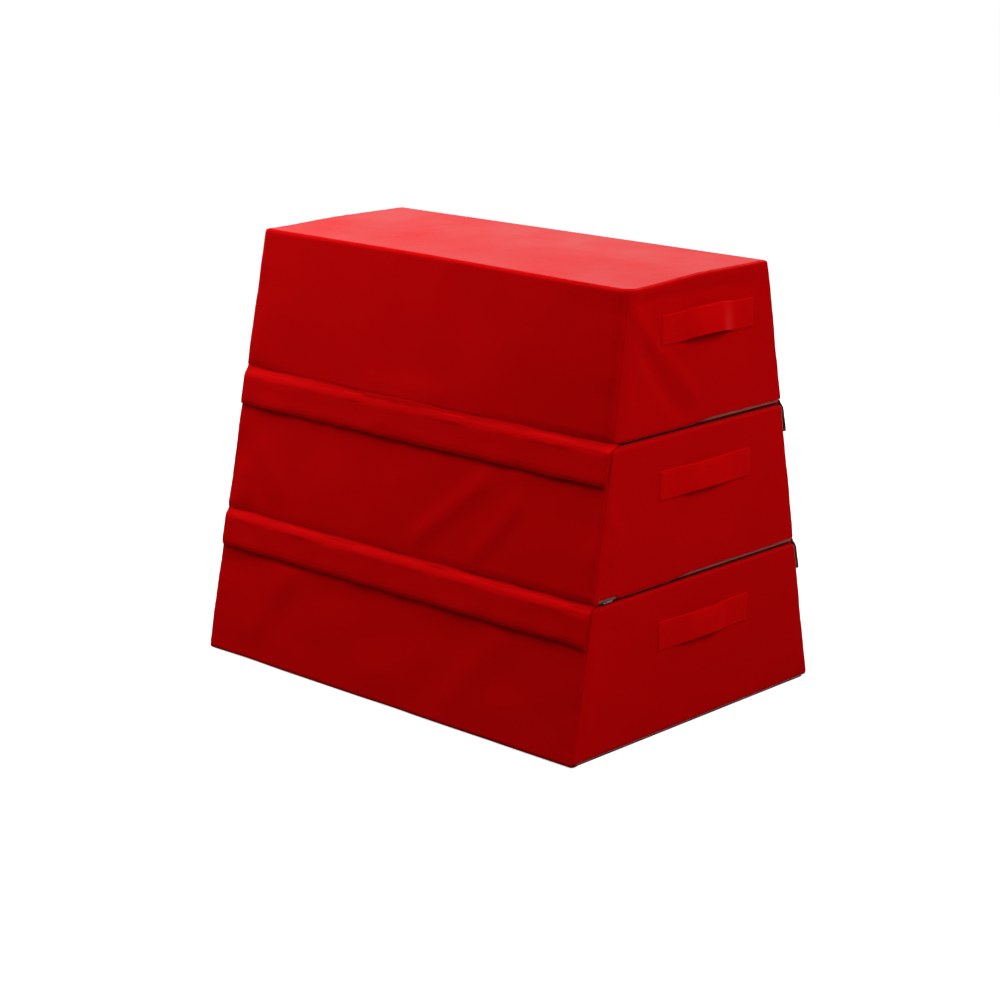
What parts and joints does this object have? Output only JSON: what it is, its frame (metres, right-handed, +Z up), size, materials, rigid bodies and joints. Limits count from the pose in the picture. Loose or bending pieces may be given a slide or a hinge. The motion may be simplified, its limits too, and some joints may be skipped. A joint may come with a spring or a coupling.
{
  "type": "vaulting box",
  "caption": "Soft tapered vaulting box: stacked foam sections in coated-cloth covers, joined by hook-and-loop flaps, with a strap handle on each section end.",
  "frame": {"origin": "centre of the base, on the surface that the box stands on", "axes": "+Z up, +X along the box to its right end, -Y out of the front long face"},
  "size_m": [1.0698, 0.745, 0.9],
  "materials": {
    "cover": "satin coated cloth with a fine weave",
    "flap": "satin coated cloth with a fine weave",
    "strap": "satin coated webbing",
    "foam": "open-cell foam, matt",
    "base_cloth": "matt anti-slip cloth",
    "zip_tape": "matt woven tape with a coil",
    "zip_metal": "dull nickel",
    "hook_tape": "matt hook tape",
    "loop_tape": "matt looped pile"
  },
  "bodies": {
    "bottom_section": {"bottom_foam_core": "foam", "bottom_cover_wrap": "cover", "bottom_end_panel_left": "cover", "bottom_end_panel_right": "cover", "bottom_base_cloth": "base_cloth", "bottom_zip_cover_half": "zip_tape", "bottom_zip_base_half": "zip_tape", "bottom_handle_tab_left_front": "strap", "bottom_handle_tab_left_rear": "strap", "bottom_handle_tab_right_front": "strap", "bottom_handle_tab_right_rear": "strap", "bottom_loop_tape_front": "loop_tape", "bottom_loop_tape_rear": "loop_tape"},
    "bottom_handle_left": {"bottom_handle_strap_left": "strap"},
    "bottom_handle_right": {"bottom_handle_strap_right": "strap"},
    "bottom_zip_slider": {"bottom_zip_slider": "zip_metal"},
    "bottom_zip_pull": {"bottom_zip_pull": "zip_metal"},
    "middle_section": {"middle_foam_core": "foam", "middle_cover_wrap": "cover", "middle_end_panel_left": "cover", "middle_end_panel_right": "cover", "middle_base_cloth": "base_cloth", "middle_zip_cover_half": "zip_tape", "middle_zip_base_half": "zip_tape", "middle_handle_tab_left_front": "strap", "middle_handle_tab_left_rear": "strap", "middle_handle_tab_right_front": "strap", "middle_handle_tab_right_rear": "strap", "middle_loop_tape_front": "loop_tape", "middle_loop_tape_rear": "loop_tape"},
    "middle_handle_left": {"middle_handle_strap_left": "strap"},
    "middle_handle_right": {"middle_handle_strap_right": "strap"},
    "middle_zip_slider": {"middle_zip_slider": "zip_metal"},
    "middle_zip_pull": {"middle_zip_pull": "zip_metal"},
    "middle_flap_front": {"middle_flap_front": "flap", "middle_hook_tape_front": "hook_tape"},
    "middle_flap_rear": {"middle_flap_rear": "flap", "middle_hook_tape_rear": "hook_tape"},
    "top_section": {"top_foam_core": "foam", "top_cover_wrap": "cover", "top_end_panel_left": "cover", "top_end_panel_right": "cover", "top_base_cloth": "base_cloth", "top_zip_cover_half": "zip_tape", "top_zip_base_half": "zip_tape", "top_handle_tab_left_front": "strap", "top_handle_tab_left_rear": "strap", "top_handle_tab_right_front": "strap", "top_handle_tab_right_rear": "strap"},
    "top_handle_left": {"top_handle_strap_left": "strap"},
    "top_handle_right": {"top_handle_strap_right": "strap"},
    "top_zip_slider": {"top_zip_slider": "zip_metal"},
    "top_zip_pull": {"top_zip_pull": "zip_metal"},
    "top_flap_front": {"top_flap_front": "flap", "top_hook_tape_front": "hook_tape"},
    "top_flap_rear": {"top_flap_rear": "flap", "top_hook_tape_rear": "hook_tape"}
  },
  "joints": [
    {"name": "bottom_handle_left_swing", "type": "hinge", "parent": "bottom_section", "child": "bottom_handle_left", "pos_m": [-0.52043, -0.015, 0.23203], "axis": [0, 1, 0], "range_deg": [0, 35]},
    {"name": "bottom_handle_right_swing", "type": "hinge", "parent": "bottom_section", "child": "bottom_handle_right", "pos_m": [0.52043, 0.015, 0.23203], "axis": [0, -1, 0], "range_deg": [0, 35]},
    {"name": "bottom_zip_run", "type": "slide", "parent": "bottom_section", "child": "bottom_zip_slider", "axis": [0, 1, 0], "range_m": [0, 0.688]},
    {"name": "bottom_zip_pull_swing", "type": "hinge", "parent": "bottom_zip_slider", "child": "bottom_zip_pull", "pos_m": [-0.52177, -0.339, 0.00668], "axis": [-0.4603, 0, 0.8878], "range_deg": [0, 170]},
    {"name": "middle_section_lift", "type": "slide", "parent": "bottom_section", "child": "middle_section", "axis": [0, 0, 1], "range_m": [0, 0.35]},
    {"name": "middle_handle_left_swing", "type": "hinge", "parent": "middle_section", "child": "middle_handle_left", "pos_m": [-0.51542, -0.015, 0.53263], "axis": [0, 1, 0], "range_deg": [0, 35]},
    {"name": "middle_handle_right_swing", "type": "hinge", "parent": "middle_section", "child": "middle_handle_right", "pos_m": [0.51542, 0.015, 0.53263], "axis": [0, -1, 0], "range_deg": [0, 35]},
    {"name": "middle_zip_run", "type": "slide", "parent": "middle_section", "child": "middle_zip_slider", "axis": [0, 1, 0], "range_m": [0, 0.574]},
    {"name": "middle_zip_pull_swing", "type": "hinge", "parent": "middle_zip_slider", "child": "middle_zip_pull", "pos_m": [0.51676, -0.28222, 0.30728], "axis": [-0.4603, 0, -0.8878], "range_deg": [0, 170]},
    {"name": "middle_flap_front_lift", "type": "hinge", "parent": "middle_section", "child": "middle_flap_front", "pos_m": [0, -0.32182, 0.30148], "axis": [-1, 0, 0], "range_deg": [0, 150]},
    {"name": "middle_flap_rear_lift", "type": "hinge", "parent": "middle_section", "child": "middle_flap_rear", "pos_m": [0, 0.32182, 0.30148], "axis": [1, 0, 0], "range_deg": [0, 150]},
    {"name": "top_section_lift", "type": "slide", "parent": "middle_section", "child": "top_section", "axis": [0, 0, 1], "range_m": [0, 0.35]},
    {"name": "top_handle_left_swing", "type": "hinge", "parent": "top_section", "child": "top_handle_left", "pos_m": [-0.51042, -0.015, 0.83263], "axis": [0, 1, 0], "range_deg": [0, 35]},
    {"name": "top_handle_right_swing", "type": "hinge", "parent": "top_section", "child": "top_handle_right", "pos_m": [0.51042, 0.015, 0.83263], "axis": [0, -1, 0], "range_deg": [0, 35]},
    {"name": "top_zip_run", "type": "slide", "parent": "top_section", "child": "top_zip_slider", "axis": [0, 1, 0], "range_m": [0, 0.461]},
    {"name": "top_zip_pull_swing", "type": "hinge", "parent": "top_zip_slider", "child": "top_zip_pull", "pos_m": [-0.51176, -0.22555, 0.60728], "axis": [-0.4603, 0, 0.8878], "range_deg": [0, 170]},
    {"name": "top_flap_front_lift", "type": "hinge", "parent": "top_section", "child": "top_flap_front", "pos_m": [0, -0.26515, 0.60148], "axis": [-1, 0, 0], "range_deg": [0, 150]},
    {"name": "top_flap_rear_lift", "type": "hinge", "parent": "top_section", "child": "top_flap_rear", "pos_m": [0, 0.26515, 0.60148], "axis": [1, 0, 0], "range_deg": [0, 150]}
  ]
}
